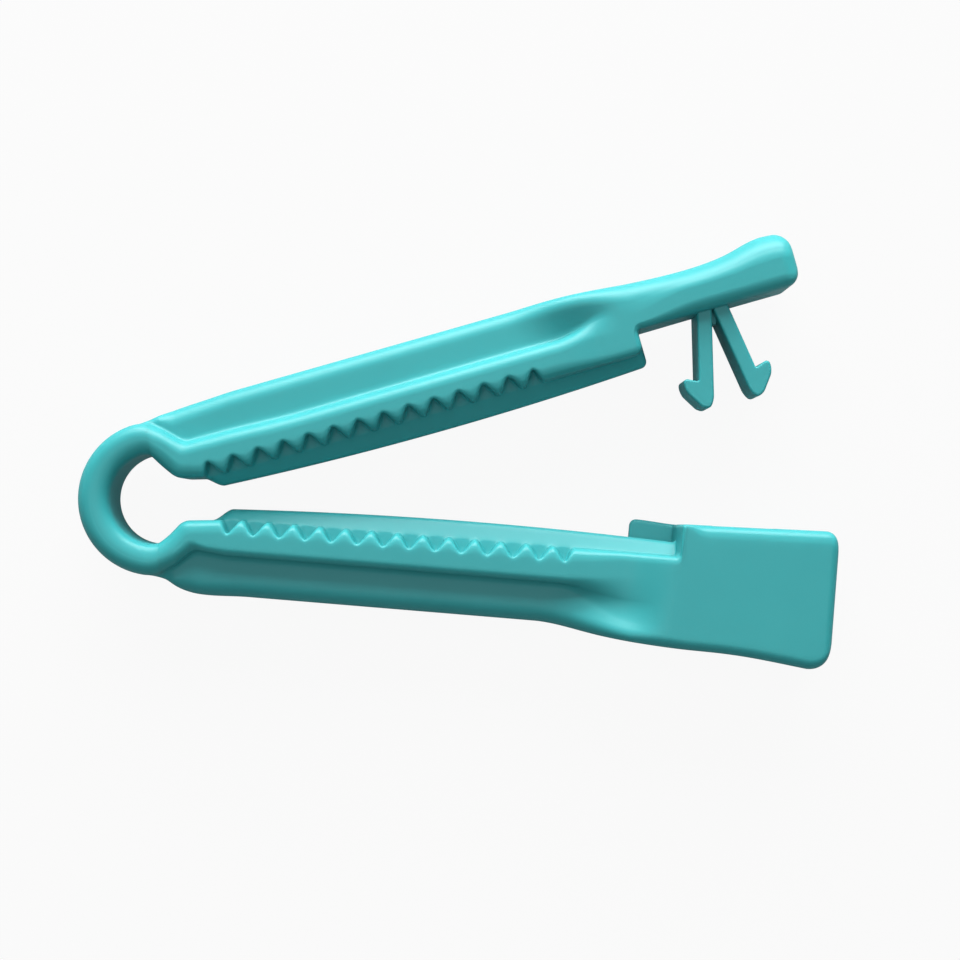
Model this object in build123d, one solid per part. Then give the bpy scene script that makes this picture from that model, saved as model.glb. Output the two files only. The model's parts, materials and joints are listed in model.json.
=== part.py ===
"""Umbilical cord clamp lying on its side: two toothed jaws on a springy ring, latched by barbed prongs.

Lengths are millimetres. Z is up, X runs from the ring to the latch along the line halfway between the jaws,
and Y crosses the mouth. Each jaw is drawn in its own frame: X along the jaw from the ring's centre, Y outward from
the mouth, Z from the mid plane of the moulding. The upper jaw is turned up from X and the lower jaw is its
mirror image, so a size shared by both is written once.
"""

import os
from math import atan2, degrees, radians, tan

from build123d import *

# Widths of the moulding, across the jaws
body_width = 7.0
box_width = 9.0
bar_share = 0.54
hook_width = 4.6
side_clearance = 0.1

# Ring that springs the jaws open
ring_radius = 6.7
ring_band = 2.75
ring_lift = 0.4
ring_edge_share = 0.4
ring_end_angle = 90.0
ring_root_angle = 45.0

# Section of a jaw, as distances out from the line through the ring's centre
open_half_angle = 10.3
tooth_tip = 0.9
rail_depth = 3.1
bar_depth = 3.55
rail_chamfer = 0.55
rail_edge_radius = 0.5
bar_corner_radius = 0.6
bar_edge_radius = 1.4

# Root of a jaw at the ring
throat_start = 2.75
throat_angle = 60.0
bar_start = 1.25
bar_taper_length = 2.4
bar_taper_depth = 1.1
land_setback = 0.35

# Teeth, with those of the lower jaw half a pitch further on
tooth_count = 13
tooth_pitch = 2.25
tooth_depth = 1.3
tooth_flat = 0.3
tooth_shoulder = 0.85
tooth_blunting = 0.25
valley_flat = 0.25
first_tooth = 6.5

# Sealing ridge on the mid plane, which stands out past the tooth tips
ridge_start = 6.0
ridge_height_start = 1.0
ridge_height_middle = 1.56
ridge_height_end = 1.2
ridge_flat = 0.7
ridge_width = 2.6
ridge_root = 2.0

# Finger tab on the upper jaw
knuckle_start = 38.0
block_end = 44.3
ridge_overhang = 0.3
tab_length = 14.9
tab_thickness = 3.6
tab_rise = 1.2
tab_saddle_length = 5.0
tab_crown_length = 12.9
tab_nose_drop = 0.4
tab_nose_radius = 1.2
tab_edge_radius = 0.9
tab_under = 3.3
upper_ramp_length = 6.5
upper_ramp_start = 36.5

# Barbed prongs under the tab
left_prong_root = 50.5
right_prong_root = 51.6
left_prong_lean = 14.5
right_prong_lean = 7.8
prong_width = 1.3
prong_length = 8.75
catch_depth = 6.4
barb_reach = 1.25
barb_lift = 0.3
barb_side = 0.95
prong_tip_radius = 0.3

# Catch box on the lower jaw
front_wall_start = 45.5
box_length = 13.6
box_rise = 2.8
box_rise_end = 3.25
box_base_start = 33.5
box_heel_length = 10.0
box_heel_depth = 1.25
box_base_depth = 2.4
box_top_radius = 1.0
box_base_radius = 2.1
box_chamfer = 0.45
lower_ramp_start = 36.0
lower_ramp_length = 8.5
guide_length = 3.8
guide_radius = 0.6
guide_foot = 2.1
box_wall = 1.4
catch_wall = 0.7
catch_thickness = 0.75
catch_overlap = 1.0
floor_thickness = 1.5

rail_outer = tooth_tip + rail_depth
bar_outer = rail_outer + bar_depth
half_body = body_width / 2
half_box = box_width / 2
half_bar = half_body * bar_share
half_slot = half_body + side_clearance
ring_edge = ring_band * ring_edge_share
land = tooth_tip + land_setback
tab_end = block_end + tab_length
box_end = front_wall_start + box_length
box_top = tooth_tip - box_rise
box_top_end = tooth_tip - box_rise_end
pocket_start = front_wall_start + catch_wall
guide_start = front_wall_start - guide_length


def plan(*points):
    """Flat outline in the jaw's own plane."""
    return make_face(Polyline(*points, close=True))


def through(outline, width):
    """Outline thickened evenly on both sides of the mid plane."""
    return extrude(outline, width / 2, both=True)


def picked(outline, *corners):
    """Corners of an outline at the given places."""
    return [v for v in outline.vertices() if any(abs(v.X - x) + abs(v.Y - y) < 0.01 for x, y in corners)]


def rounded(outline, radius, *corners):
    """Outline with the given corners rounded."""
    return fillet(picked(outline, *corners), radius)


def jaw_section():
    """Section across a jaw: the toothed rail at full width with the thinner bar behind it."""
    outline = Polygon(
        (tooth_tip, -half_body),
        (rail_outer, -half_body),
        (rail_outer, -half_bar),
        (bar_outer, -half_bar),
        (bar_outer, half_bar),
        (rail_outer, half_bar),
        (rail_outer, half_body),
        (tooth_tip, half_body),
        align=None,
    )
    outline = chamfer(picked(outline, (tooth_tip, -half_body), (tooth_tip, half_body)), rail_chamfer)
    outline = rounded(outline, rail_edge_radius, (rail_outer, -half_body), (rail_outer, half_body))
    outline = rounded(outline, bar_corner_radius, (rail_outer, -half_bar), (rail_outer, half_bar))
    return rounded(outline, bar_edge_radius, (bar_outer, -half_bar), (bar_outer, half_bar))


def ring_arc(start, sweep):
    """Part of the ring about its own centre, from an angle off the X axis, in the open clamp."""
    band = Rectangle(ring_band, body_width)
    band = chamfer(picked(band, (-ring_band / 2, -half_body), (-ring_band / 2, half_body)), ring_edge)
    band = rounded(band, ring_edge, (ring_band / 2, -half_body), (ring_band / 2, half_body))
    band = Plane.XZ * Pos(ring_radius - ring_band / 2, 0) * band
    return Pos(0, ring_lift, half_box) * Rot(0, 0, start) * revolve(band, Axis.Z, sweep)


def throat():
    """Web in the corner between the ring and the jaw, with a sloping face towards the ring's hole."""
    top = rail_outer + rail_edge_radius
    start = throat_start - (top - land) / tan(radians(throat_angle))
    end = first_tooth - tooth_pitch
    web = through(plan((start, top), (throat_start, land), (end, land), (end, rail_outer - rail_edge_radius),
                       (throat_start, top)), body_width)
    face = [e for e in web.edges() if abs(e.center().Z) > half_bar and e.center().X < throat_start]
    return chamfer([e for e in face if e.center().Y < rail_outer], ring_edge)


def tooth_gaps(first):
    """Combs that cut the gaps between the blunted teeth, on both sides of the ridge."""
    valley = tooth_tip + tooth_depth
    clear = tooth_tip - 2 * tooth_depth
    wave = [(first - tooth_pitch, clear), (first - tooth_pitch / 2 - valley_flat / 2, valley)]
    for i in range(tooth_count):
        tip = first + tooth_pitch * i
        wave += [
            (tip - tooth_pitch / 2 + valley_flat / 2, valley),
            (tip - tooth_shoulder / 2, tooth_tip + tooth_blunting),
            (tip - tooth_flat / 2, tooth_tip),
            (tip + tooth_flat / 2, tooth_tip),
            (tip + tooth_shoulder / 2, tooth_tip + tooth_blunting),
            (tip + tooth_pitch / 2 - valley_flat / 2, valley),
        ]
    end = first + tooth_pitch * (tooth_count - 0.5)
    comb = plan(*wave, (end + valley_flat / 2, valley), (end + tooth_pitch / 2, clear))
    front = extrude(Pos(0, 0, ridge_width / 2) * comb, half_body)
    return [front, mirror(front, Plane.XY)]


def ridge(end):
    """Sealing ridge: a bowed crest on the mid plane with sloping sides."""
    first = (ridge_start, tooth_tip - ridge_height_start)
    middle = ((ridge_start + end) / 2, tooth_tip - ridge_height_middle)
    last = (end, tooth_tip - ridge_height_end)
    root = tooth_tip + ridge_root
    outline = make_face(ThreePointArc(first, middle, last) + Polyline(last, (end, root), (ridge_start, root), first))
    spread = (ridge_width - ridge_flat) / 2
    side = extrude(Pos(0, 0, ridge_flat / 2) * outline, spread, taper=degrees(atan2(ridge_height_middle, spread)))
    return through(outline, ridge_flat) + side + mirror(side, Plane.XY)


def jaw_arm(end, bar_end, first):
    """Toothed arm from the ring's root to the ends of its rail and its bar, without the ridge."""
    arm = extrude(Plane.YZ.offset(bar_start) * jaw_section(), end - bar_start)
    arm -= through(plan((bar_end, rail_outer), (end, rail_outer), (end, bar_outer), (bar_end, bar_outer)), box_width)
    arm -= through(plan((0, -half_body), (throat_start, -half_body), (throat_start, rail_outer), (0, rail_outer)),
                   box_width)
    arm -= through(plan((0, bar_outer - bar_taper_depth), (bar_start, bar_outer - bar_taper_depth),
                        (bar_start + bar_taper_length, bar_outer), (bar_start, bar_outer + bar_depth),
                        (0, bar_outer + bar_depth)), box_width)
    land_end = first - tooth_pitch / 2
    arm -= through(plan((0, -half_body), (land_end, -half_body), (land_end, land), (0, land)), box_width)
    return arm - tooth_gaps(first)


def ramps(start, length, top):
    """What is cut away above the bar on both faces, up a smooth ramp to the given height."""
    end = start + length
    rise = Spline((start, half_bar), (end, top), tangents=[(1, 0), (1, 0.15)])
    rest = Polyline((end, top), (end, 2 * top), (0, 2 * top), (0, half_bar), (start, half_bar))
    front = extrude(Plane.XZ * make_face(rise + rest), 4 * bar_outer, both=True)
    front &= through(plan((0, rail_outer), (box_end, rail_outer), (box_end, 4 * bar_outer), (0, 4 * bar_outer)),
                     6 * top)
    return [front, mirror(front, Plane.XY)]


def to_upper(shape):
    """From the jaw's own frame to the open clamp."""
    return Pos(0, 0, half_box) * Rot(0, 0, open_half_angle) * shape


def to_lower(shape):
    """Mirror image of the same place on the upper jaw."""
    return mirror(to_upper(shape), Plane.XZ)


def finger_tab():
    """Tab with a saddled back, which takes over from the bar and rail at full width."""
    saddle = tab_under + tab_thickness
    crown = saddle + tab_rise
    crown_at = block_end + tab_crown_length
    back = Spline((knuckle_start, bar_outer), (block_end + tab_saddle_length, saddle), (crown_at, crown),
                  tangents=[(1, 0), (1, 0)])
    nose = [(tab_end, crown - tab_nose_drop), (tab_end, tab_under)]
    rest = Polyline((crown_at, crown), *nose, (knuckle_start, tab_under), (knuckle_start, bar_outer))
    tab = through(rounded(make_face(back + rest), tab_nose_radius, *nose), body_width)
    tab -= ramps(upper_ramp_start, upper_ramp_length, half_body)
    rim = [e for e in tab.edges() if abs(e.center().Z) > half_bar + side_clearance]
    rim = [e for e in rim if e.center().X > knuckle_start + side_clearance]
    rim = [e for e in rim if e.center().Y > rail_outer + bar_depth / 2 or e.center().X > block_end + tab_thickness / 2]
    return fillet(rim, tab_edge_radius)


def upper_jaw():
    """Arm, ridge, finger tab and the end of the ring that runs into them."""
    arm = jaw_arm(block_end, knuckle_start, first_tooth) + ridge(block_end + ridge_overhang)
    return to_upper(arm + finger_tab() + throat()) + ring_arc(ring_root_angle, ring_end_angle - ring_root_angle)


def catch_box():
    """Solid box at the end of the lower jaw, with its base swept out from the bar and a ramp up each face."""
    heel_at = box_base_start + box_heel_length
    base_end = bar_outer + box_base_depth
    base = Spline((box_base_start, bar_outer), (heel_at, bar_outer + box_heel_depth), (box_end, base_end),
                  tangents=[(1, 0), (1, 0.16)])
    rest = Polyline((box_end, base_end), (box_end, box_top_end), (front_wall_start, box_top),
                    (front_wall_start, rail_outer), (box_base_start, rail_outer), (box_base_start, bar_outer))
    outline = rounded(make_face(base + rest), box_top_radius, (box_end, box_top_end))
    box = through(rounded(outline, box_base_radius, (box_end, base_end)), box_width)
    box -= ramps(lower_ramp_start, lower_ramp_length, half_box)
    rim = [e for e in box.edges() if abs(e.center().Z) > half_bar + side_clearance]
    rim = [e for e in rim if e.center().X > box_base_start + side_clearance]
    rim = [e for e in rim if e.center().Y > bar_outer - side_clearance or e.center().X > front_wall_start - side_clearance]
    return chamfer(rim, box_chamfer)


def guide():
    """Lip that carries the box's rear wall on along the jaw, to steer the upper jaw in."""
    lip = plan((guide_start, box_top), (pocket_start, box_top), (pocket_start, guide_foot),
               (guide_start, guide_foot))
    lip = rounded(lip, guide_radius, (guide_start, box_top))
    foot = plan((guide_start, tooth_tip + rail_chamfer), (pocket_start, tooth_tip + rail_chamfer),
                (pocket_start, guide_foot), (guide_start, guide_foot))
    side = Pos(0, 0, -half_box)
    return extrude(side * lip, half_box - half_slot) + extrude(side * foot, half_box - half_body + rail_chamfer)


def pocket():
    """Space in the box for the prongs, with a mouth narrowed by a catch at each end."""
    left, right = [barb_tip(root, lean, side).X for root, lean, side in prongs]
    inside = plan((pocket_start, box_top + catch_thickness), (box_end - box_wall, box_top_end + catch_thickness),
                  (box_end - box_wall, bar_outer + box_base_depth - box_wall - floor_thickness),
                  (pocket_start, bar_outer + box_heel_depth - floor_thickness))
    mouth = plan((left + catch_overlap, 2 * box_top_end), (right - catch_overlap, 2 * box_top_end),
                 (right - catch_overlap, rail_outer), (left + catch_overlap, rail_outer))
    return through(inside, 2 * half_slot) + through(mouth, 2 * half_slot)


def lower_jaw():
    """Arm, ridge, catch box with its guide, and the other end of the ring."""
    arm = jaw_arm(pocket_start, box_base_start, first_tooth + tooth_pitch / 2) + ridge(pocket_start)
    jaw = to_lower(arm + catch_box() + guide() + throat() - pocket())
    return jaw + ring_arc(-ring_end_angle, ring_end_angle - ring_root_angle)


prongs = [(left_prong_root, left_prong_lean, -1), (right_prong_root, right_prong_lean, 1)]


def prong_place(root, lean):
    """Where a prong starts on the tab's underside, leaning away from straight down."""
    return Pos(root, tab_under) * Rot(0, 0, lean)


def barb_tip(root, lean, side):
    """Farthest point of a prong's barb, in the jaw's frame."""
    reach = Pos(side * (prong_width / 2 + barb_reach), barb_lift - catch_depth)
    return (prong_place(root, side * lean) * reach).position


def prong(root, lean, side):
    """One prong with its barb on the given side."""
    half = prong_width / 2
    tip = [(side * half * 0.4, -prong_length), (-side * half * 0.4, -prong_length)]
    outline = plan((-side * half, prong_width), (side * half, prong_width), (side * half, -catch_depth),
                   (side * (half + barb_reach), barb_lift - catch_depth),
                   (side * (half + barb_reach), barb_lift - catch_depth - barb_side), *tip,
                   (-side * half, -prong_length + prong_width / 2))
    outline = rounded(outline, prong_tip_radius, *tip)
    return prong_place(root, side * lean) * outline


def latch_hooks():
    """Both prongs, joined at their roots and seated on the tab's underside."""
    pair = prong(*prongs[0]) + prong(*prongs[1])
    above = plan((block_end, tab_under), (tab_end, tab_under), (tab_end, 2 * tab_under), (block_end, 2 * tab_under))
    return to_upper(through(pair - above, hook_width))


parts = {
    "upper_jaw": upper_jaw(),
    "lower_jaw": lower_jaw(),
    "spring_ring": ring_arc(ring_end_angle, 360 - 2 * ring_end_angle),
    "latch_hooks": latch_hooks(),
}

# The origin is under the middle of the clamp, so everything moves there from the ring's centre
middle = Compound([part.solid() for part in parts.values()]).bounding_box().center()
print("hinge axis at", round(-middle.X, 4), round(-middle.Y, 4))
os.makedirs("parts", exist_ok=True)
for name, part in parts.items():
    part = Pos(-middle.X, -middle.Y, 0) * part
    export_step(part, f"parts/{name}.step")
    print(name, len(part.solids()), "solid", round(part.volume, 1), "mm3")
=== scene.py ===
# %% [markdown]
# # Umbilical cord clamp
# The clamp is one plastic moulding: two toothed jaws on a springy ring, with barbed prongs on the upper jaw
# that snap into a box on the lower one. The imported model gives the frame, its bodies and its hinge. Here every
# solid gets a softer, truer surface worked out with numpy, and the one plastic that it is all made of.

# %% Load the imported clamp
import json
import math

import bmesh
import bpy
import numpy as np
from mathutils import Matrix, Vector


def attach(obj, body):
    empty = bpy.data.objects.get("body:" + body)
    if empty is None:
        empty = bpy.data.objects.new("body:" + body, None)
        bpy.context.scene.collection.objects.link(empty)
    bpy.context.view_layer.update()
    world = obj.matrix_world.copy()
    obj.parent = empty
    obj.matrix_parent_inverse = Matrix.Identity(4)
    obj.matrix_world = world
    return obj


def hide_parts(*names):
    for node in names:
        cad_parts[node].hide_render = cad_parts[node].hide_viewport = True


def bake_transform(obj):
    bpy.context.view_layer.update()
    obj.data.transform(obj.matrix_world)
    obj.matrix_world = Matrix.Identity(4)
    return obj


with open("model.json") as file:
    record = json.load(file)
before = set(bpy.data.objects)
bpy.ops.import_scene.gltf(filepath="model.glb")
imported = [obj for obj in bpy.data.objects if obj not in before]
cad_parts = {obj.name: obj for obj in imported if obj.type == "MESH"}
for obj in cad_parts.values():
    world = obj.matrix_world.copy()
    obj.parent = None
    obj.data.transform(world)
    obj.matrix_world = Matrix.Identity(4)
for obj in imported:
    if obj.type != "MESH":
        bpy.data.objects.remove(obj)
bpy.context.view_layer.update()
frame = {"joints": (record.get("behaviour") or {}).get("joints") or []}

hinge = np.array(frame["joints"][0]["pos_m"])

# %% [markdown]
# ## Sizes of the moulding
# Each jaw is drawn in its own frame, in millimetres: a runs along the jaw from the hinge, b runs outward from
# the mouth, and z is the height from the mid plane. The upper jaw is then turned up about the hinge, and the
# lower jaw is its mirror image. So a size that both jaws share is written once, and a piece lands where its
# solid is.

# %% Named sizes
MM = 0.001
open_half_angle = math.radians(10.3)

# Half widths, and the floor of the tooth gaps, as heights z.
half_body = 3.5
half_bar = 1.89
half_box = 4.5
half_slot = 3.6
half_hook = 2.3
half_ridge = 0.35
gap_floor = 1.3

# Ring: radii, how far its centre lies above the hinge, and the size of its outer and inner edges.
ring_radius = 6.69
ring_hole = 3.95
ring_lift = 0.4
ring_edge = 1.45
hole_edge = 1.0

# Distances outward, b.
tooth_tip = 0.9
rail_outer = 4.0
bar_outer = 7.55
tab_under = 3.0
box_top = -1.9
box_top_end = -2.35

# Teeth.
tooth_count = 13
tooth_pitch = 2.25
tooth_depth = 1.3

# Places along the jaw, a, and the length of its tip.
first_tooth = 6.5
teeth_from = 6.6
bar_even = 9.0
teeth_to = 36.0
lip_start = 41.6
block_end = 44.3
front_wall = 45.5
box_end = 59.08
tab_end = 59.2
tip_length = 2.0


def to_row(points, side):
    """Jaw frame to row frame: turn by the half angle, mirror in y for side -1, then move to the hinge."""
    a, b, z = np.moveaxis(np.asarray(points, float), -1, 0)
    c, s = math.cos(open_half_angle), math.sin(open_half_angle)
    return np.stack([a * c - b * s, side * (a * s + b * c), z], -1) * MM + hinge


print("jaw length", tab_end, "mm, opening", round(math.degrees(2 * open_half_angle), 1), "degrees")

# %% [markdown]
# ## Curves that the surfaces are made from
# A moulded part has no sharp corners, so its sizes change along smooth curves. These few formulas are used again
# and again below: a smooth step, a quarter-round edge, a curve through given heights, and a walk up a wall.

# %% Curve formulas
def smooth(x, start, end):
    """Smooth step: 0 up to start, 1 from end, and 3t^2 - 2t^3 between them."""
    t = np.clip((x - start) / (end - start), 0, 1)
    return t * t * (3 - 2 * t)


def mix(p, q, w):
    """Straight blend from p at weight 0 to q at weight 1."""
    return p + (q - p) * w


def run(start, end, count):
    """Evenly spaced places from start up to, but not at, end."""
    return np.linspace(start, end, count, endpoint=False)


def quarter_round(a, end, radius):
    """How far a quarter-round edge that ends at end has drawn in at a: r - sqrt(r^2 - (a - end + r)^2)."""
    over = np.clip(a - (end - radius), 0, radius)
    return radius - np.sqrt(radius**2 - over**2)


def curve_through(x, places, heights, slopes):
    """Cubic through the given heights with the given slopes there (Hermite form)."""
    places, heights, slopes = (np.asarray(v, float) for v in (places, heights, slopes))
    i = np.clip(np.searchsorted(places, x) - 1, 0, len(places) - 2)
    h = places[i + 1] - places[i]
    t = np.clip((x - places[i]) / h, 0, 1)
    start = (1 + 2 * t) * (1 - t) ** 2 * heights[i] + t * (1 - t) ** 2 * h * slopes[i]
    return start + t * t * (3 - 2 * t) * heights[i + 1] + t * t * (t - 1) * h * slopes[i + 1]


def wall_walk(wall, b_from, b_to, foot, brow, count):
    """Plan path up a wall at a = wall: quarter circle of radius foot, straight, quarter circle of radius brow."""
    third = count // 3
    turn = np.linspace(0, math.pi / 2, third)
    up = np.sign(b_to - b_from)
    first = np.stack([wall - foot + foot * np.sin(turn), b_from + up * foot * (1 - np.cos(turn))], -1)
    last = np.stack([wall + brow - brow * np.cos(turn), b_to - up * brow * (1 - np.sin(turn))], -1)
    straight = np.linspace(first[-1], last[0], count - 2 * third + 2)[1:-1]
    return np.concatenate([first, straight, last])


print("smooth step at the middle:", float(smooth(0.5, 0, 1)))

# %% [markdown]
# ## Rounded sections
# A section across the moulding is a closed loop of corners. Turning each corner into a short arc gives the soft
# edges that a moulding needs to leave its tool, and it is quicker and more even than a bevel on a finished mesh.

# %% Sections with round corners
def rounded_loops(corners, radii, arc_counts, flat_counts):
    """Closed sections with every corner turned into an arc.

    corners has one row of corner points for each station, and radii one tangent length for each corner. A
    corner becomes the rational quadratic arc between the two tangent points, which is a circle at a right
    angle. Two tangents that would overlap on a short side shrink together. Straight sides get evenly spaced
    points.
    """
    most_of_a_side, no_length = 0.98, 1e-9
    ahead = np.roll(corners, -1, axis=1) - corners
    length = np.maximum(np.linalg.norm(ahead, axis=-1), no_length)
    wanted = np.maximum(radii + np.roll(radii, -1, axis=1), no_length)
    fit = np.minimum(1, most_of_a_side * length / wanted)
    tangent = (radii * np.minimum(fit, np.roll(fit, 1, axis=1)))[..., None]
    heading = ahead / length[..., None]
    leave = corners + heading * tangent
    arrive = corners - np.roll(heading, 1, axis=1) * tangent
    weight = math.sqrt(0.5)
    rows = []
    for k, (arc, flat) in enumerate(zip(arc_counts, flat_counts)):
        u = np.linspace(0, 1, arc)[:, None]
        top = ((1 - u) ** 2 * arrive[:, k, None] + 2 * weight * u * (1 - u) * corners[:, k, None]
               + u**2 * leave[:, k, None])
        rows.append(top / ((1 - u) ** 2 + 2 * weight * u * (1 - u) + u**2))
        v = np.linspace(0, 1, flat + 2)[1:-1, None]
        rows.append(mix(leave[:, k, None], np.roll(arrive, -1, axis=1)[:, k, None], v))
    return np.concatenate(rows, axis=1)


square = np.array([[(1, 1, 0), (-1, 1, 0), (-1, -1, 0), (1, -1, 0)]], float)
soft_square = rounded_loops(square, np.full((1, 4), 0.5), [5] * 4, [2] * 4)
print("a square with round corners has", soft_square.shape[1], "points")

# %% [markdown]
# ## From a grid of points to a mesh
# A section carried along a path is a grid: one row for each station, one column for each point of the section.
# The faces join neighbours in that grid, and a flat face closes each end.

# %% Grid to mesh
CRISP = math.radians(40)
SAME_PLACE, NO_LENGTH = 1e-7, 1e-8


def piece_from_faces(name, points, faces):
    """Mesh object with doubled points merged, normals outwards, smooth shading, and edges over CRISP sharp."""
    mesh = bpy.data.meshes.new(name)
    mesh.from_pydata(points, [], faces)
    shell = bmesh.new()
    shell.from_mesh(mesh)
    bmesh.ops.remove_doubles(shell, verts=shell.verts, dist=SAME_PLACE)
    bmesh.ops.dissolve_degenerate(shell, edges=shell.edges, dist=NO_LENGTH)
    bmesh.ops.recalc_face_normals(shell, faces=shell.faces)
    # The flat ends become fat triangles, because slivers would show as lines.
    caps = [face for face in shell.faces if len(face.verts) > 4]
    bmesh.ops.triangulate(shell, faces=caps, ngon_method="BEAUTY")
    shell.to_mesh(mesh)
    shell.free()
    mesh.shade_smooth()
    mesh.set_sharp_from_angle(angle=CRISP)
    piece = bpy.data.objects.new(name, mesh)
    bpy.context.scene.collection.objects.link(piece)
    print(name, len(mesh.vertices), "points", len(mesh.polygons), "faces")
    return piece


def piece_from_grid(name, grid):
    """Closed tube through the grid's sections, capped at both ends."""
    rows, columns = grid.shape[:2]
    index = np.arange(rows * columns).reshape(rows, columns)
    here, ahead = index[:-1], index[1:]
    quads = np.stack([here, ahead, np.roll(ahead, -1, 1), np.roll(here, -1, 1)], -1).reshape(-1, 4)
    caps = [index[0].tolist(), index[-1, ::-1].tolist()]
    return piece_from_faces(name, grid.reshape(-1, 3), quads.tolist() + caps)


# %% [markdown]
# ## Section of a jaw
# Across the jaw, each half section has nine corners: the bar's outer edge, the foot of the channel, the rail's
# outer edge, three points round the mouth edge, two at the floor of the tooth gaps, and the crest of the sealing
# ridge. The whole jaw is these corners walked along from the ring to the tip, so each corner is a curve in space.

# %% Corner lines and whole loops
OUTER = 3                                   # corners of the outside: bar, foot and rail
ARCS = [9, 5, 7, 4, 4, 4, 3, 3, 4]          # points on the arc at each corner
FLATS = [5, 3, 5, 0, 0, 2, 1, 3, 1]         # points on the straight side after it
SMALL = [0.32, 0.3, 0.28, 0.15, 0.1, 0.3]   # tangent lengths of the inner corners


def corner_line(plan, z):
    """One corner of the section at every station, from its plan path and its height."""
    return np.column_stack([plan, np.broadcast_to(z, len(plan))])


def half_section(back, foot, rail, edge, gap, ridge):
    """Nine corner lines of a half section. back, foot and rail are each a, b and z along the jaw."""
    outer = [corner_line(np.stack([a, b], -1), z) for a, b, z in (back, foot, rail)]
    return [*outer, *edge, *gap, corner_line(ridge, half_ridge)]


def small_edges(count):
    """Tangent lengths of the inner corners at every station."""
    return [np.full(count, tangent) for tangent in SMALL]


def whole_loops(front, front_radii, back, back_radii):
    """Closed loops from the front half section and the back one, whose heights are turned over the mid plane."""
    turned = [line * (1, 1, -1) for line in back]
    corners = np.stack(front + turned[::-1], axis=1)
    radii = np.stack(front_radii + back_radii[::-1], axis=1)
    return rounded_loops(corners, radii, ARCS + ARCS[::-1], FLATS + FLATS[-2::-1] + FLATS[:1])


print("points round a jaw:", 2 * (sum(ARCS) + sum(FLATS)) - FLATS[-1] + FLATS[0])

# %% [markdown]
# ## Mouth edge and tooth gaps
# The teeth show on the jaw's face as a scalloped edge. So the tooth wave moves the corner at the mouth fully, and
# the corners further up the round edge less and less, which lets each gap fade out on the face.

# %% Mouth edge and tooth gaps
EDGE_TURNS = ((90, 0.36), (45, 0.72), (0, 1.0))   # degrees round the edge, and the share of the wave there
gap_step, below_face = 0.15, (0.5, 0.7)


def normals_of(path):
    """Unit vectors across a plan path, to its left, which is into the moulding."""
    step = np.gradient(path, axis=0)
    across = np.stack([-step[:, 1], step[:, 0]], -1)
    return across / np.linalg.norm(across, axis=-1, keepdims=True)


def mouth_edge(path, across, inset, face, wave):
    """Three corners round the mouth edge at 90, 45 and 0 degrees, with the teeth fading on to the face."""
    lines = []
    for angle, share in EDGE_TURNS:
        s, c = math.sin(math.radians(angle)), math.cos(math.radians(angle))
        plan = path + across * (inset * (1 - c))[:, None]
        plan[:, 1] += wave * share
        lines.append(corner_line(plan, face - inset * (1 - s)))
    return lines


def gap_lines(path, wave, face):
    """Two corners at the floor of the tooth gaps: behind the wave and at the mouth, both well below the face."""
    behind = path + np.stack([0 * wave, wave], -1)
    return [corner_line(behind, np.minimum(gap_floor, face - below_face[0])),
            corner_line(path, np.minimum(gap_floor - gap_step, face - below_face[1]))]


print("corners round the mouth edge:", len(EDGE_TURNS))

# %% [markdown]
# ## Teeth and ridge
# The teeth could be modelled one by one, but all of them are one wave along the mouth edge: a triangle wave whose
# tips and valleys are blunted, as cutters and wear leave them. Between the two rows of teeth stands a bowed
# sealing ridge.

# %% Tooth wave and ridge crest
tip_blunt, valley_blunt = 0.7, 0.45
CREST_PLACES = (6.0, 25.15, 44.3)


def blunted(t, k):
    """Hyperbola from 0 to 1 with a flat start: (sqrt(t^2 + k^2) - k) / (sqrt(1 + k^2) - k)."""
    return (np.sqrt(t**2 + k**2) - k) / (math.sqrt(1 + k**2) - k)


def tooth_wave(a, first):
    """Depth of the gaps behind the tips: a triangle wave whose tips and valleys are hyperbolas."""
    count = (a - first) / tooth_pitch
    from_tip = np.abs(count - np.round(count)) * 2
    wave = 1 - blunted(1 - blunted(from_tip, tip_blunt), valley_blunt)
    last = first + tooth_pitch * (tooth_count - 1)
    near, far = tooth_pitch / 2, tooth_pitch * 0.9
    start = smooth(a, first - far, first - near)
    end = 1 - smooth(a, last + near, last + far)
    return tooth_depth * wave * start * end


def crest(heights):
    """Bowed crest of a ridge: the parabola through its heights at the start, middle and end."""
    return np.poly1d(np.polyfit(CREST_PLACES, heights, 2))


upper_crest, lower_crest = crest((-0.05, -0.66, -0.15)), crest((0.0, -0.64, -0.33))
some = first_tooth + tooth_pitch * np.array([0, 0.25, 0.5])
print("gap depth at a tip, a flank and a valley:", tooth_wave(some, first_tooth).round(2))

# %% [markdown]
# ## Root of the jaws
# Both jaws grow out of the ring in the same way. The band follows the ring round, bends back to the throat and
# then becomes the toothed rail, while the thinner bar swells out of the ring's back. Each edge is a polyline whose
# corners are softened by a running mean, which is simpler than working out every tangent arc.

# %% Paths along the root
ROOT, LAND = 44, 34
cut_turn = math.degrees(math.pi / 2 - open_half_angle)


def ring_centre(side):
    """Centre of the ring in the jaw's frame: a little above the hinge, so below it for the lower jaw."""
    return side * ring_lift * np.array([math.sin(open_half_angle), math.cos(open_half_angle)])


def ring_point(side, radius):
    """The point at a radius from the ring's centre on the cut across the ring."""
    turn = math.radians(cut_turn)
    return ring_centre(side) + radius * np.array([math.cos(turn), math.sin(turn)])


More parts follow.
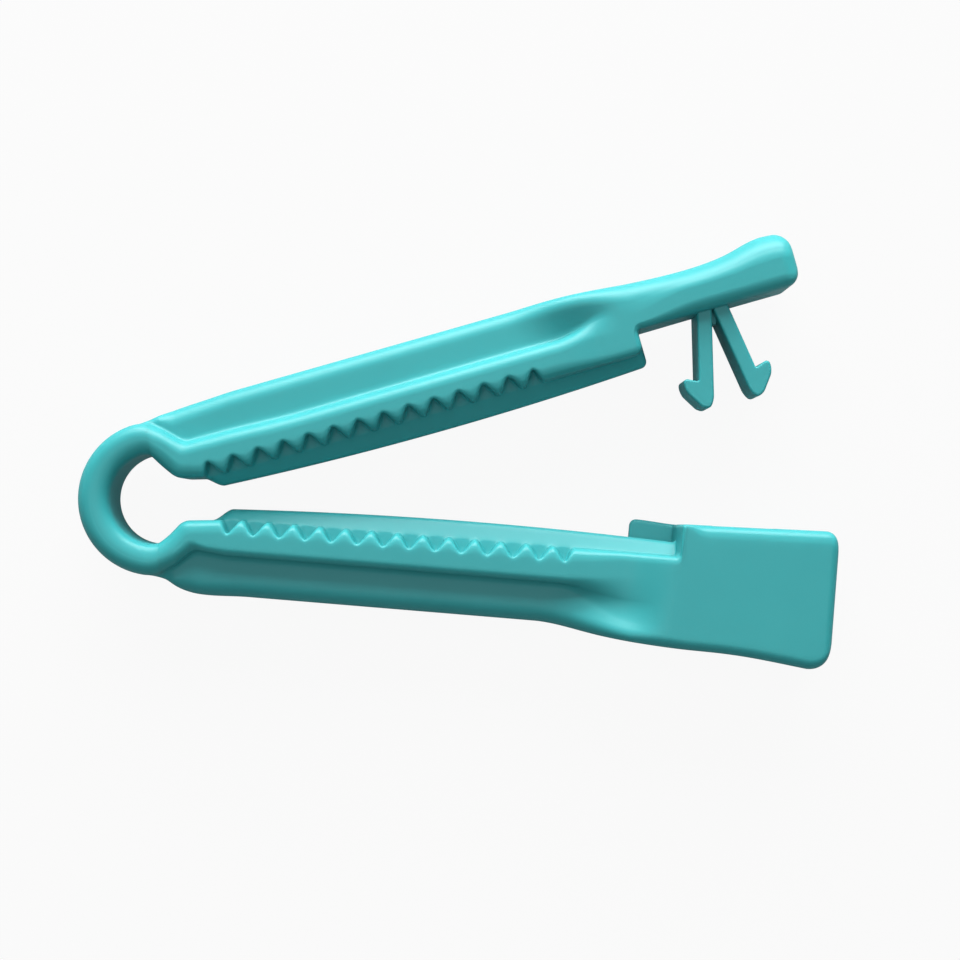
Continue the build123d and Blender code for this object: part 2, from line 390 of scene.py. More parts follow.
def soft_path(corners, knee, window):
    """Path through the corners in ROOT steps up to the corner numbered knee and LAND steps after it.

    Each point is the mean of the polyline over a window about it, which shrinks to nothing at both ends.
    """
    corners = np.array(corners)
    reach = np.concatenate([[0], np.cumsum(np.linalg.norm(np.diff(corners, axis=0), axis=-1))])
    at = np.concatenate([run(0, reach[knee], ROOT), run(reach[knee], reach[-1], LAND)])
    half = np.minimum(window / 2, np.minimum(at, reach[-1] - at))
    places = at[:, None] + half[:, None] * np.linspace(-1, 1, 41)
    return np.stack([np.interp(places, reach, axis).mean(1) for axis in corners.T], -1)


band_radius, upper_throat, lower_throat = 6.42, 3.68, 3.84
rail_window, mouth_window, rail_extra = 0.8, 1.3, 0.25
upper_rail_root = soft_path([
    ring_point(1, band_radius), (2.15, 6.0), (2.8, 5.35), (3.3, 4.8), (3.9, 4.3),
    (teeth_from, rail_outer + rail_extra)], 4, rail_window)
upper_mouth_root = soft_path([
    ring_point(1, upper_throat), (1.35, 2.95), (2.35, 1.55), (4.7, 0.95), (teeth_from, tooth_tip)],
    2, mouth_window)
lower_rail_root = soft_path([
    ring_point(-1, band_radius), (2.2, 5.2), (3.05, 4.4), (3.8, 3.75), (teeth_from, rail_outer)],
    3, rail_window)
lower_mouth_root = soft_path([
    ring_point(-1, lower_throat), (1.35, 2.75), (2.5, 1.3), (5.2, 1.05), (teeth_from, tooth_tip)],
    2, mouth_window)
upper_bar_root, lower_bar_root = ring_point(1, 6.92), ring_point(-1, 7.05)
print("root stations:", len(upper_rail_root), "from", upper_rail_root[0].round(2),
      "to", upper_rail_root[-1].round(2))

# %% [markdown]
# ## Edges along the root
# The mouth edge is wide and round on the ring and narrower on the rail. At the throat it must not fold over
# itself, so its direction is an even turn: along the ring's radius at the cut, over to the throat's slope, and
# straight out. The other edges and the bar also go from the ring's sizes to the arm's along the root.

# %% Edge directions and sizes along the root
throat_slope, rail_inset = 42, 0.8
bar_start_z, bar_start_edge, bar_edge = 1.55, 0.4, 1.4


def root_share(count):
    """How far along the root a station is: 0 at the cut across the ring, 1 where the teeth start."""
    return np.arange(count) / (ROOT + LAND)


def mouth_normals(path, tip):
    """Directions into the moulding: an even turn on the root, straight across at the tip, else the path's own."""
    share = root_share(ROOT + LAND)
    over, back = smooth(share, 0, 0.3), smooth(share, 0.4, 0.85)
    turn = np.radians(cut_turn - throat_slope * over + (90 - cut_turn + throat_slope) * back)
    across = normals_of(path)
    across[:ROOT + LAND] = np.stack([np.cos(turn), np.sin(turn)], -1)
    across[tip] = 0, 1
    return across


def with_ridge(mouth_root, height, start, end, ridge):
    """Ridge path whose root lies in the mouth edge up to start, and then climbs to its crest at end."""
    a, b = mouth_root.T
    return np.concatenate([np.stack([a, mix(b, height(a), smooth(a, start, end))], -1), ridge])


def bar_along(a, share, root):
    """Places of the bar's outer edge, which starts at its own point of the cut."""
    return a + (root[0] - a[0]) * (1 - smooth(share, 0, 0.3))


def root_sizes(share, rail_edge):
    """The bar's height, the mouth edge's inset, and the tangent lengths of the bar's and the rail's edges."""
    return (mix(bar_start_z, half_bar, smooth(share, 0, 0.2)),
            mix(hole_edge, rail_inset, smooth(share, 0.3, 0.9)),
            mix(bar_start_edge, bar_edge, smooth(share, 0, 0.5)),
            mix(ring_edge, rail_edge, smooth(share, 0.25, 0.8)))


print("share of the root at its knee:", round(float(root_share(ROOT + 1)[-1]), 2))

# %% [markdown]
# ## Upper jaw
# The rail and its teeth end in a block, and a finger tab with a saddled back carries on past it. At the block's
# end the mouth side of the section walks up a wall to the tab's underside, while the outer side keeps going.

# %% Upper jaw: plan paths
TEETH, BLOCK, STEP, TAB, NOSE = 300, 60, 39, 50, 20
block_foot, tab_brow, nose_radius = 0.8, 0.4, 1.35
ridge_end, ridge_foot = block_end + 0.3, 0.6
step_from, step_to = block_end - block_foot, block_end + tab_brow
nose_run = tab_end - nose_radius + nose_radius * np.sin(np.linspace(0, math.pi / 2, NOSE))
tab_run = np.concatenate([run(step_to, tab_end - nose_radius, TAB), nose_run])


def upper_mouth_side(height, wall, foot):
    """Plan path on the mouth side after the root: along the arm at a height, up the block's end, on the tab."""
    arm = np.concatenate([run(teeth_from, teeth_to, TEETH), run(teeth_to, wall - foot, BLOCK)])
    walk = wall_walk(wall, height(np.array([wall - foot]))[0], tab_under, foot, tab_brow, STEP)
    under = np.stack([tab_run, tab_under + quarter_round(tab_run, tab_end, nose_radius)], -1)
    under[:, 0] += (walk[-1, 0] - step_to) * (1 - smooth(tab_run, step_to, step_to + 4))
    return np.concatenate([np.stack([arm, height(arm)], -1), walk, under])


def level(x):
    """Tooth tips, which lie at one distance all along the arm."""
    return np.full(len(x), tooth_tip)


arm_run = np.concatenate([run(teeth_from, teeth_to, TEETH), run(teeth_to, step_from, BLOCK),
                          run(step_from, step_to, STEP)])
a = np.concatenate([upper_rail_root[:, 0], arm_run, tab_run])
mouth = np.concatenate([upper_mouth_root, upper_mouth_side(level, block_end, block_foot)])
ridge = with_ridge(upper_mouth_root, upper_crest, 4.2, 5.9,
                   upper_mouth_side(upper_crest, ridge_end, ridge_foot))
print("upper jaw stations:", len(a))

# %% [markdown]
# ### Outer side of the upper jaw
# The bar lies in a channel, and at the tab it ramps up to the full width. Its outer edge ramps first, so the ramp
# leans towards the rail as a shallow scoop. The rail's face stands slightly proud of the block that follows it.

# %% Upper jaw: bar, channel and face
block_dip, nose_taper, crown_radius, tab_bevel = 0.15, 0.75, 1.15, 0.8
upper_back, ramp_top = bar_outer + 0.2, half_body - 0.1
share = root_share(len(a))
bar_z, inset, bar_radius, rail_radius = root_sizes(share, 1.05)
on_block = smooth(a, 38, 41) - smooth(a, 44, 50)
on_tab = smooth(a, 41, block_end + 1)
nose = quarter_round(a, tab_end, nose_radius)

face = half_body - nose_taper * nose - block_dip * on_block
bar_back = curve_through(a, (a[0], 3, 6, bar_even), (upper_bar_root[1], 7.45, 7.62, upper_back),
                         (0.17, 0.09, 0.04, 0.02))
tab_back = curve_through(a, (35.5, 48.5, 53.5, 57.2, tab_end), (upper_back, 7.02, 7.3, 7.99, 7.73),
                         (0, -0.02, 0.17, -0.05, -0.25))
back_a = bar_along(a, share, upper_bar_root)
back = np.where(a < bar_even, bar_back, tab_back) - quarter_round(a, tab_end, crown_radius)
back_z = mix(bar_z, ramp_top, smooth(a, 33.5, 40.5)) - tab_bevel * smooth(a, 41, 50)
foot_z = mix(half_bar, face, smooth(a, 37, 43.5))
foot_spread = 1.2 * smooth(a, 37, 42.5)
rail_on = rail_outer + rail_extra * (1 - smooth(a[ROOT + LAND:], teeth_from, 14))
rail = np.concatenate([upper_rail_root[:, 1], rail_on])
print("tab's back rises to", round(float(back.max()), 2), "mm")

# %% [markdown]
# ### Mouth side of the upper jaw
# The mouth edge is narrow on the block and wide and round under the tab. On the tab the rail and the channel's
# foot have no shape of their own, so their corners spread out over the tab's side.

# %% Upper jaw: mouth edge and mesh
block_inset, tab_extra, nose_less = 0.5, 0.4, 0.45
rail_part, foot_part = 0.28, 0.5
inset = mix(inset, block_inset, smooth(a, teeth_to, 42))
inset = inset + tab_extra * smooth(a, 45, 50) - nose_less * smooth(a, tab_end - 1.6, tab_end)
wave = tooth_wave(mouth[:, 0], first_tooth)
edge = mouth_edge(mouth, mouth_normals(mouth, a > tab_end - tip_length), inset, face, wave)
inner = mix(tooth_tip, tab_under, smooth(a, 41, 49)) + inset + nose
foot_b = mix(rail + foot_spread, mix(inner, back, foot_part), on_tab)
rail_b = mix(rail, mix(inner, back, rail_part), on_tab)
upper_half = half_section((back_a, back, back_z), (a, foot_b, foot_z), (a, rail_b, face), edge,
                          gap_lines(mouth, wave, face), ridge)
upper_radii = [bar_radius + 0.5 * smooth(a, 40, 48), 0.5 + 0.3 * on_tab,
               mix(rail_radius, 1.1, smooth(a, teeth_to, 41)), *small_edges(len(a))]
upper_loops = whole_loops(upper_half, upper_radii, upper_half, upper_radii)
upper_jaw = piece_from_grid("upper_jaw_moulding", to_row(upper_loops, 1))

# %% [markdown]
# ## Lower jaw
# The lower jaw has the same arm, but ends in a box that catches the prongs. Its front wall starts at a crisp edge,
# and its rear wall is carried on along the jaw as a lip that guides the upper jaw in. So the mouth edge climbs
# earlier at the back than at the front, and the two half sections differ.

# %% Lower jaw: plan paths
LIP_RUN, LIP, BETWEEN, WALL, BOX, END = 26, 27, 22, 39, 46, 26
lip_foot, lip_brow, lip_height = 0.3, 0.6, box_top - 0.2
wall_foot, wall_brow, base_radius, top_radius = 0.4, 0.35, 2.1, 1.15
lip_from, lip_to = lip_start - lip_foot, lip_start + lip_brow
wall_from, wall_to = front_wall - wall_foot, front_wall + wall_brow
arm_run = np.concatenate([run(teeth_from, teeth_to, TEETH), run(teeth_to, lip_from, LIP_RUN)])
lip_run, between_run = run(lip_from, lip_to, LIP), run(lip_to, wall_from, BETWEEN)
end_run = box_end - base_radius + base_radius * np.sin(np.linspace(0, math.pi / 2, END))
box_run = np.concatenate([run(wall_to, box_end - base_radius, BOX), end_run])


def box_edge(x):
    """Top edge of the box, which falls a little towards its end and rounds off there."""
    fall = (x - front_wall) / (box_end - front_wall)
    return mix(box_top, box_top_end, fall) + quarter_round(x, box_end, top_radius)


def lower_mouth_side(height):
    """Plan path on the mouth side after the root: along the arm at a height, up the front wall, on the box."""
    arm = np.concatenate([arm_run, lip_run, between_run])
    walk = wall_walk(front_wall, height(np.array([wall_from]))[0], box_top, wall_foot, wall_brow, WALL)
    return np.concatenate([np.stack([arm, height(arm)], -1), walk, box_path])


box_path = np.stack([box_run, box_edge(box_run)], -1)
lip_walk = wall_walk(lip_start, tooth_tip, lip_height, lip_foot, lip_brow, LIP)
lip_on = np.concatenate([between_run, run(wall_from, wall_to, WALL)])
lip_top = mix(lip_height, box_top, smooth(lip_on, 42, 46))
lip_path = np.concatenate([lower_mouth_root, np.stack([arm_run, level(arm_run)], -1), lip_walk,
                           np.stack([lip_on, lip_top], -1), box_path])
a = np.concatenate([lower_rail_root[:, 0], arm_run, lip_run, lip_on, box_run])
mouth = np.concatenate([lower_mouth_root, lower_mouth_side(level)])
ridge = with_ridge(lower_mouth_root, lower_crest, 4.7, 6.5, lower_mouth_side(lower_crest))
print("lower jaw stations:", len(a))

# %% [markdown]
# ### Heights of the lower jaw
# The bar's face runs out on to the box over a long ramp. As on the upper jaw its outer edge rises first, which
# leaves the soft dished run-out between the channel and the box.

# %% Lower jaw: heights shared by both faces
face_edge, arm_inset, rail_part, foot_part = 0.75, 0.55, 0.4, 0.65
share = root_share(len(a))
bar_z, inset, bar_radius, rail_radius = root_sizes(share, 0.6)
inset = mix(inset, arm_inset, smooth(a, 37, 41))
end_z = quarter_round(a, box_end, face_edge)
on_box = smooth(a, 43, 50)
back_a = bar_along(a, share, lower_bar_root)
bar_back = curve_through(a, (a[0], 2.9, 4.4, 8.5), (lower_bar_root[1], 7.4, 7.65, bar_outer),
                         (0.42, 0.33, 0.05, 0))
base = curve_through(a, (33.5, 39.4, 43, 46.4, 49.9, 53.4, 57, box_end),
                     (bar_outer, 8.3, 8.64, 8.82, 8.9, 9.17, 9.6, 9.82),
                     (0, 0.12, 0.07, 0.03, 0.04, 0.11, 0.12, 0.1))
back = np.where(a < bar_even, bar_back, base) - quarter_round(a, box_end, base_radius)
back_z = mix(bar_z, half_box, smooth(a, 33.5, 42.5)) - end_z
rail = np.concatenate([lower_rail_root[:, 1], np.full(len(a) - ROOT - LAND, rail_outer)])
wave = tooth_wave(mouth[:, 0], first_tooth + tooth_pitch / 2)


def lower_half(face, edge):
    """Half section of the lower jaw for its face height and its mouth edge."""
    inner = mix(tooth_tip, box_edge(a), smooth(a, 42, 50)) + inset
    rail_b = mix(rail, mix(inner, back, rail_part), on_box)
    foot_b = mix(rail + 2 * smooth(a, 35, 42), mix(inner, back, foot_part), on_box)
    foot_z = mix(half_bar, face, smooth(a, 34, 44.5))
    return half_section((back_a, back, back_z), (a, foot_b, foot_z), (a, rail_b, face), edge,
                        gap_lines(mouth, wave, face), ridge)


print("box depth at its end:", round(float(base[-1] - box_top_end), 2), "mm")

# %% [markdown]
# ### Front and rear of the lower jaw
# At the front the mouth edge climbs the box's wall. At the rear it climbs the lip, whose inner side stands at the
# slot, so there the third corner of the edge stays at the foot of the lip.

# %% Lower jaw: front, rear and mesh
wall_inset, top_inset, lip_thin = 0.25, 0.86, 0.02
station = np.arange(len(a))
lip_at = ROOT + LAND + len(arm_run)
wall_at = lip_at + LIP + BETWEEN
top_at = wall_at + WALL
tip = a > box_end - tip_length

face = mix(half_body, half_box, smooth(a, 41.0, 45.4)) - end_z
on_wall, on_top = smooth(station, wall_at, wall_at + WALL / 3), smooth(station, top_at, top_at + 7)
front_inset = mix(mix(inset, wall_inset, on_wall), top_inset, on_top)
across = mouth_normals(mouth, tip)
front = lower_half(face, mouth_edge(mouth, across, front_inset, face, wave))

rear = mix(half_body, half_box, smooth(a, 36.5, 40.6)) - end_z
past_lip = smooth(station, top_at, top_at + 8)
on_lip = smooth(station, lip_at, lip_at + LIP / 3) * (1 - past_lip)
lip_inset = mix(mix(inset, lip_thin, on_lip), face_edge, past_lip)
top_edge, middle_edge, _ = mouth_edge(lip_path, mouth_normals(lip_path, tip), lip_inset, rear, wave)
foot_edge = mouth_edge(mouth, across, lip_inset, rear, wave)[2]
for line in (middle_edge, foot_edge):
    line[:, 2] = mix(line[:, 2], half_slot, on_lip)
back_half = lower_half(rear, [top_edge, middle_edge, foot_edge])

outer_radii = [bar_radius - 0.5 * smooth(a, 38, 47), 0.5 + 0.6 * smooth(a, teeth_to, 42),
               mix(rail_radius, 1.2, smooth(a, teeth_to, 42))]
front_radii = outer_radii + small_edges(len(a))
rear_radii = outer_radii + [0.2 + 0.15 * on_lip] * 2 + small_edges(len(a))[2:]
lower_loops = whole_loops(front, front_radii, back_half, rear_radii)
lower_jaw = piece_from_grid("lower_jaw_moulding", to_row(lower_loops, -1))

# %% [markdown]
# ## Prong outlines
# Two prongs hang from the tab's underside, each with a barb at its foot. Each is an outline of a few corners,
# rounded, and carried through the prong's width. The outlines come first, because the catches in the box are set
# by the barbs.

# %% Prong outlines and where the barbs reach
prong_top, prong_half, prong_length, prong_sunk = 3.3, 0.65, 8.75, 0.6
barb_reach, barb_rise, barb_flat, catch_depth, heel = 1.3, 0.3, 0.75, 6.4, 0.7
PRONGS = {"left": (50.5, 14.5, -1), "right": (51.85, 8.0, 1)}   # place along the tab, lean, the barb's side
PRONG_RADII = [0.4, 0.4, 0.2, 0.5, 0.75, 0.6, 0.4, 0.5]
PRONG_ARCS, PRONG_FLATS = [6, 6, 6, 9, 9, 9, 7, 7], [8] * 8
barb_corner = (prong_half + barb_reach, barb_rise - catch_depth)


def hang(points, root, lean, side):
    """From a prong's own frame, across to the barb's side and up, to its place under the tab, leaning outwards."""
    u, v = np.asarray(points, float)[..., :2].T * [[side], [1]]
    c, s = math.cos(math.radians(lean * side)), math.sin(math.radians(lean * side))
    return np.stack([root + u * c - v * s, prong_top + u * s + v * c], -1)


def prong_outline(root, lean, side):
    """Outline of one prong with its barb, as corners with round edges."""
    h = prong_half
    corners = [(-h, prong_sunk), (h, prong_sunk), (h, -catch_depth), barb_corner,
               (h + barb_reach, -catch_depth - barb_flat), (h * 0.5, -prong_length), (-h * 0.5, -prong_length),
               (-h, -prong_length + heel)]
    flat_corners = np.pad(corners, ((0, 0), (0, 1)))[None]
    points = rounded_loops(flat_corners, np.array([PRONG_RADII]), PRONG_ARCS, PRONG_FLATS)[0]
    return hang(points, root, lean, side)


barb_tips = {name: hang([barb_corner], *place)[0] for name, place in PRONGS.items()}
print("barb tips at:", {name: tip.round(2).tolist() for name, tip in barb_tips.items()})

# %% [markdown]
# ## Pocket in the box
# The prongs snap into a pocket whose mouth is narrowed by a catch at each end. The pocket is cut from the box with
# a plain prism, because its corners are as crisp as the steel core that moulds them.

# %% Cut the pocket
def prism(name, outline, half_width, side):
    """Outline of (a, b) points carried from one side of the mid plane to the other."""
    outline = np.asarray(outline, float)
    count = len(outline)
    levels = [np.column_stack([outline, np.full(count, z)]) for z in (-half_width, half_width)]
    i = np.arange(count)
    sides = np.stack([i, np.roll(i, -1), np.roll(i, -1) + count, i + count], -1).tolist()
    ends = [i[::-1].tolist(), (i + count).tolist()]
    return piece_from_faces(name, to_row(np.concatenate(levels), side), sides + ends)


def cut(piece, cutter):
    """Takes the cutter away from the piece for good."""
    modifier = piece.modifiers.new("pocket", "BOOLEAN")
    modifier.object, modifier.operation, modifier.solver = cutter, "DIFFERENCE", "EXACT"
    bpy.context.view_layer.update()
    mesh = bpy.data.meshes.new_from_object(piece.evaluated_get(bpy.context.evaluated_depsgraph_get()))
    piece.modifiers.clear()
    piece.data = mesh
    mesh.set_sharp_from_angle(angle=CRISP)
    bpy.data.objects.remove(cutter)
    print(piece.name, "after the cut:", len(mesh.polygons), "faces")


pocket_start, pocket_end, catch_overlap, above = 46.2, 57.7, 1.0, -6.0
catch_under, catch_under_end, floor_start, floor_end = -1.15, -1.6, 7.3, 7.05
mouth_start, mouth_end = barb_tips["left"][0] + catch_overlap, barb_tips["right"][0] - catch_overlap
pocket_places = np.array([pocket_start, mouth_start, mouth_end, pocket_end])
under = mix(catch_under, catch_under_end, (pocket_places - pocket_start) / (pocket_end - pocket_start))
cut(lower_jaw, prism("pocket", [
    (pocket_start, under[0]), (mouth_start, under[1]), (mouth_start, above), (mouth_end, above),
    (mouth_end, under[2]), (pocket_end, under[3]), (pocket_end, floor_end), (pocket_start, floor_start)],
    half_slot, -1))

# %% [markdown]
# ## Spring ring
# The free half of the ring is a round-edged band carried round the ring's centre. Near its ends the band's edge
# draws in and the bars begin to swell, so it starts and ends on the jaws' cut faces, point for point.

# %% Spring ring
RING_STATIONS, ring_fade = 121, math.radians(17)
ring_middle = hinge + (0, ring_lift * MM, 0)


def polar(section, side):
    """A section's radius from the ring's centre and its height, at every point of the loop."""
    return np.stack([np.linalg.norm(section[:, :2] - ring_centre(side), axis=-1), section[:, 2]], -1)


def plain_band():
    """The band's own section: the upper jaw's first corners, moved along their spokes to the ring's own radii."""
    first = [line[:1].copy() for line in upper_half]
    for k, line in enumerate(first):
        spoke = line[:, :2] - ring_centre(1)
        reach = np.linalg.norm(spoke)
        radius = ring_radius if k < OUTER else reach + ring_hole - upper_throat
        line[:, :2] = ring_centre(1) + spoke * radius / reach
    radii = [r[:1] for r in upper_radii]
    return whole_loops(first, radii, first, radii)[0]


def ring_grid(first, plain, last):
    """Sections turned about the ring's centre through its free half turn, from first to plain to last."""
    turn = np.linspace(math.pi / 2, 3 * math.pi / 2, RING_STATIONS)
    near_first = np.clip(1 - (turn - turn[0]) / ring_fade, 0, 1)[:, None, None] ** 3
    near_last = np.clip(1 - (turn[-1] - turn) / ring_fade, 0, 1)[:, None, None] ** 3
    section = plain + (first - plain) * near_first + (last - plain) * near_last
    radius, height = np.moveaxis(section, -1, 0)
    x, y = radius * np.cos(turn)[:, None], radius * np.sin(turn)[:, None]
    return np.stack([x, y, height], -1) * MM + ring_middle


spring_ring = piece_from_grid("spring_ring_moulding", ring_grid(
    polar(upper_loops[0], 1), polar(plain_band(), 1), polar(lower_loops[0], -1)))

# %% [markdown]
# ## Latch prongs
# The outlines from above become solid prongs. Each is a stack of outlines that draw in towards both sides, which
# rounds the long edges evenly. A thin web fills the fork between the prongs, where the real ones run together.

# %% Latch prongs
EDGE_STEPS, flat_rim, prong_edge = 7, 1.1, 0.2
WEB = [(50.6, 3.7), (51.9, 3.7), (51.25, 1.75), (51.0, 1.75)]


def soft_prism(name, outline, half_width, edge, side):
    """Outline carried through the width, its edges round: inset e(1 - sin t) at height w - e(1 - cos t).

    The first inset is a little more than e, which leaves a flat rim, so that the caps shade evenly.
    """
    ahead = np.roll(outline, -1, 0)
    step = ahead - np.roll(outline, 1, 0)
    inward = np.stack([-step[:, 1], step[:, 0]], -1) / np.linalg.norm(step, axis=-1, keepdims=True)
    area = np.sum(outline[:, 0] * ahead[:, 1] - outline[:, 1] * ahead[:, 0])
    turn = np.linspace(0, math.pi / 2, EDGE_STEPS)
    inset = np.append(flat_rim * edge, edge * (1 - np.sin(turn)))
    height = np.append(half_width, half_width - edge * (1 - np.cos(turn)))
    inset, height = np.concatenate([inset, inset[::-1]]), np.concatenate([-height, height[::-1]])
    rings = outline + inset[:, None, None] * inward * np.sign(area)
    grid = np.concatenate([rings, np.broadcast_to(height[:, None, None], (*rings.shape[:2], 1))], -1)
    return piece_from_grid(name, to_row(grid, side))


prongs = [soft_prism(f"latch_prong_{name}", prong_outline(*place), half_hook, prong_edge, 1)
          for name, place in PRONGS.items()]
prongs.append(prism("latch_prong_web", WEB, half_hook / 2, 1))

# %% [markdown]
# ## Moulded plastic
# The clamp is a pigmented polypropylene, moulded in a lightly spark-eroded tool. To the eye that is a soft satin
# gloss, a colour that glows a little at the edges because light enters the plastic, and a very fine grain.

# %% Material
def linear(hex_colour):
    """sRGB hex colour as linear red, green, blue and alpha."""
    srgb = np.array([int(hex_colour[i:i + 2], 16) for i in (1, 3, 5)]) / 255
    return (*np.where(srgb <= 0.04045, srgb / 12.92, ((srgb + 0.055) / 1.055) ** 2.4), 1.0)


def add(tree, kind, settings=None, links=None):
    """One node: settings go to its properties or sockets by name, links join other nodes' sockets to its own."""
    node = tree.nodes.new(kind)
    for name, value in (settings or {}).items():
        if isinstance(name, int) or name in node.inputs:
            node.inputs[name].default_value = value
        else:
            setattr(node, name, value)
    for name, socket in (links or {}).items():
        tree.links.new(socket, node.inputs[name])
    return node


def moulded_polypropylene():
    """Turquoise polypropylene: faint flow marks in the colour, a fine eroded grain, satin gloss."""
    material = bpy.data.materials.new("moulded_polypropylene_turquoise")
    material.use_nodes = True
    tree = material.node_tree
    tree.nodes.clear()
    place = add(tree, "ShaderNodeTexCoord").outputs["Object"]
    # Flow marks: two close turquoises in patches of about a centimetre, so that no face is dead even.
    flow = add(tree, "ShaderNodeTexNoise", {"Scale": 1 / (9 * MM), "Detail": 3.0}, {"Vector": place})
    tint = add(tree, "ShaderNodeValToRGB", {}, {"Fac": flow.outputs["Fac"]})
    for stop, colour in zip(tint.color_ramp.elements, ("#36a4a8", "#40aeb1")):
        stop.color = linear(colour)
    # Grain: a spark-eroded one is too fine to show here, so it is drawn coarser. It only breaks up the highlights.
    grain = add(tree, "ShaderNodeTexNoise", {"Scale": 1 / (0.25 * MM), "Detail": 2.0}, {"Vector": place})
    bump = add(tree, "ShaderNodeBump", {"Strength": 0.12, "Distance": 0.02 * MM},
               {"Height": grain.outputs["Fac"]})
    # Satin gloss, and light that travels about a millimetre in the plastic, red light less far.
    shader = add(tree, "ShaderNodeBsdfPrincipled",
                 {"Roughness": 0.42, "IOR": 1.49, "Specular IOR Level": 0.35, "Subsurface Weight": 0.25,
                  "Subsurface Scale": 1.2 * MM, "Subsurface Radius": (0.35, 1.0, 1.0)},
                 {"Base Color": tint.outputs["Color"], "Normal": bump.outputs["Normal"]})
    add(tree, "ShaderNodeOutputMaterial", {}, {"Surface": shader.outputs["BSDF"]})
    return material


plastic = moulded_polypropylene()
for piece in (upper_jaw, lower_jaw, spring_ring, *prongs):
    piece.data.materials.clear()
    piece.data.materials.append(plastic)
print("one plastic on", 3 + len(prongs), "pieces")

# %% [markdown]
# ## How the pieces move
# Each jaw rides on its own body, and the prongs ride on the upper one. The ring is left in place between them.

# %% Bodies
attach(upper_jaw, "upper")
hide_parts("upper_jaw")
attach(lower_jaw, "lower")
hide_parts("lower_jaw")
for prong in prongs:
    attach(prong, "upper")
    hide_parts("latch_hooks")
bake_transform(spring_ring)
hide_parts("spring_ring")
print("upper body carries", 1 + len(prongs), "pieces, lower body 1, and the ring bends between them")

# %% [markdown]
# ## Floor
# The clamp lies on a plain white table. Seen by the camera the floor is almost white, and it still takes a little
# of the clamp's shadow, because some of its paint shows through the glow.

# %% Floor
floor_reach, camera_glow, mirrored_glow = 1.5, 0.93, 0.03


def plain_floor():
    """White floor: it glows for the camera, hardly for reflections, over a paint that keeps the shadow."""
    material = bpy.data.materials.new("white_table")
    material.use_nodes = True
    tree = material.node_tree
    tree.nodes.clear()
    seen = add(tree, "ShaderNodeLightPath").outputs
    # Satin plastic mirrors the floor in its own shadow, so a reflection gets only a small part of the glow.
    mirrored = add(tree, "ShaderNodeMath", {"operation": "MULTIPLY", 1: mirrored_glow},
                   {0: seen["Is Glossy Ray"]})
    either = add(tree, "ShaderNodeMath", {"operation": "MAXIMUM"},
                 {0: seen["Is Camera Ray"], 1: mirrored.outputs[0]})
    any_ray = add(tree, "ShaderNodeMath", {"operation": "MAXIMUM"},
                  {0: either.outputs[0], 1: seen["Is Transmission Ray"]})
    share = add(tree, "ShaderNodeMath", {"operation": "MULTIPLY", 1: camera_glow}, {0: any_ray.outputs[0]})
    paint = add(tree, "ShaderNodeBsdfDiffuse", {"Color": linear("#b4b4b4")})
    glow = add(tree, "ShaderNodeEmission", {"Color": (1, 1, 1, 1), "Strength": 1.0})
    both = add(tree, "ShaderNodeMixShader", {},
               {0: share.outputs[0], 1: paint.outputs[0], 2: glow.outputs[0]})
    add(tree, "ShaderNodeOutputMaterial", {}, {"Surface": both.outputs[0]})
    return material


floor_corners = [(x * floor_reach, y * floor_reach, 0) for x, y in ((-1, -1), (1, -1), (1, 1), (-1, 1))]
floor_mesh = bpy.data.meshes.new("floor")
floor_mesh.from_pydata(floor_corners, [], [(0, 1, 2, 3)])
floor_mesh.materials.append(plain_floor())
floor = bpy.data.objects.new("floor", floor_mesh)
bpy.context.scene.collection.objects.link(floor)
print("floor", 2 * floor_reach, "m wide")

# %% [markdown]
# ## Light
# A wide window beyond the upper jaw gives the long highlights on the edges that face it, and makes the side walls
# there brighter than their colour. A weak ceiling light and a dim room fill the rest. The room is white for the
# camera, so that only a faint horizon shows in a low view, and it is dim in reflections.

# %% Lights
room_light = 0.2


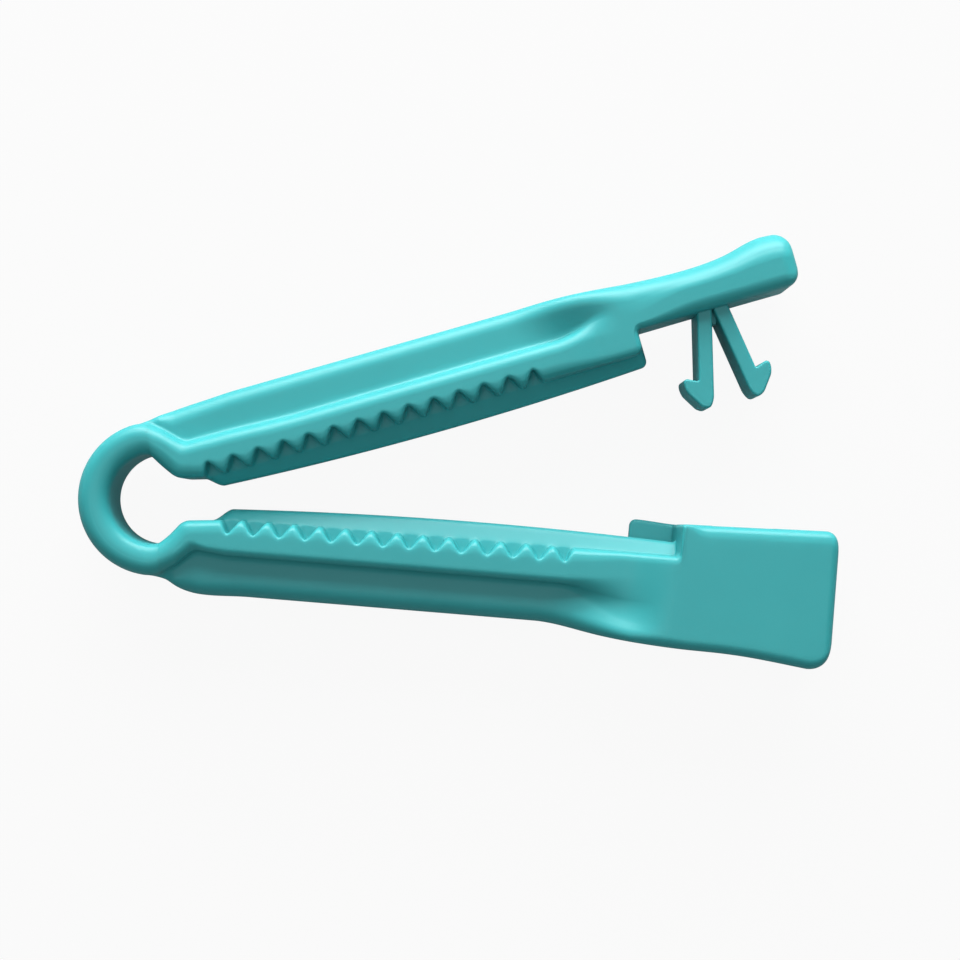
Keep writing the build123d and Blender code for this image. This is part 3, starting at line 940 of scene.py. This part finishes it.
def area_light(name, place, width, height, watts):
    """Soft light of a given width and height that faces the clamp."""
    lamp = bpy.data.lights.new(name, "AREA")
    lamp.shape, lamp.size, lamp.size_y, lamp.energy = "RECTANGLE", width, height, watts
    light = bpy.data.objects.new(name, lamp)
    light.location = place
    light.rotation_mode = "QUATERNION"
    light.rotation_quaternion = (-Vector(place)).to_track_quat("-Z", "Y")
    bpy.context.scene.collection.objects.link(light)


area_light("window", (0.03, 0.36, 0.20), 0.4, 0.2, 1.75)
area_light("window_sill", (0.03, 0.42, 0.085), 0.5, 0.14, 2.3)
area_light("ceiling", (0.0, 0.05, 0.6), 0.4, 0.4, 0.7)
world = bpy.data.worlds.new("soft_room")
bpy.context.scene.world = world
world.use_nodes = True
room = world.node_tree
room.nodes.clear()
seen = add(room, "ShaderNodeLightPath").outputs
clear = add(room, "ShaderNodeMath", {"operation": "MAXIMUM"},
            {0: seen["Is Camera Ray"], 1: seen["Is Transmission Ray"]})
bright = add(room, "ShaderNodeMath", {"operation": "MAXIMUM", 1: room_light}, {0: clear.outputs[0]})
sky = add(room, "ShaderNodeBackground", {"Color": (1, 1, 1, 1)}, {"Strength": bright.outputs[0]})
add(room, "ShaderNodeOutputWorld", {}, {"Surface": sky.outputs[0]})
print("lights:", [light.name for light in bpy.data.lights])

# %% [markdown]
# ## Camera
# The photograph was taken almost straight down from a hand's length away, turned so that the line between the jaws
# rises a little to the right.

# %% Camera and view transform
roll = math.radians(5.6)
camera_place, camera_target = Vector((1.95, -4.07, 163.0)) * MM, Vector((2.34, -0.01, 8.0)) * MM
lens = bpy.data.cameras.new("camera")
lens.lens, lens.sensor_width = 67.5, 36.0
lens.clip_start, lens.clip_end = 0.005, 10
camera = bpy.data.objects.new("camera", lens)
bpy.context.scene.collection.objects.link(camera)
away = (camera_place - camera_target).normalized()
right = Vector((math.sin(roll), math.cos(roll), 0)).cross(away).normalized()
camera.location = camera_place
camera.rotation_mode = "QUATERNION"
camera.rotation_quaternion = Matrix((right, away.cross(right), away)).transposed().to_quaternion()
bpy.context.scene.camera = camera
bpy.context.scene.view_settings.view_transform = "Standard"
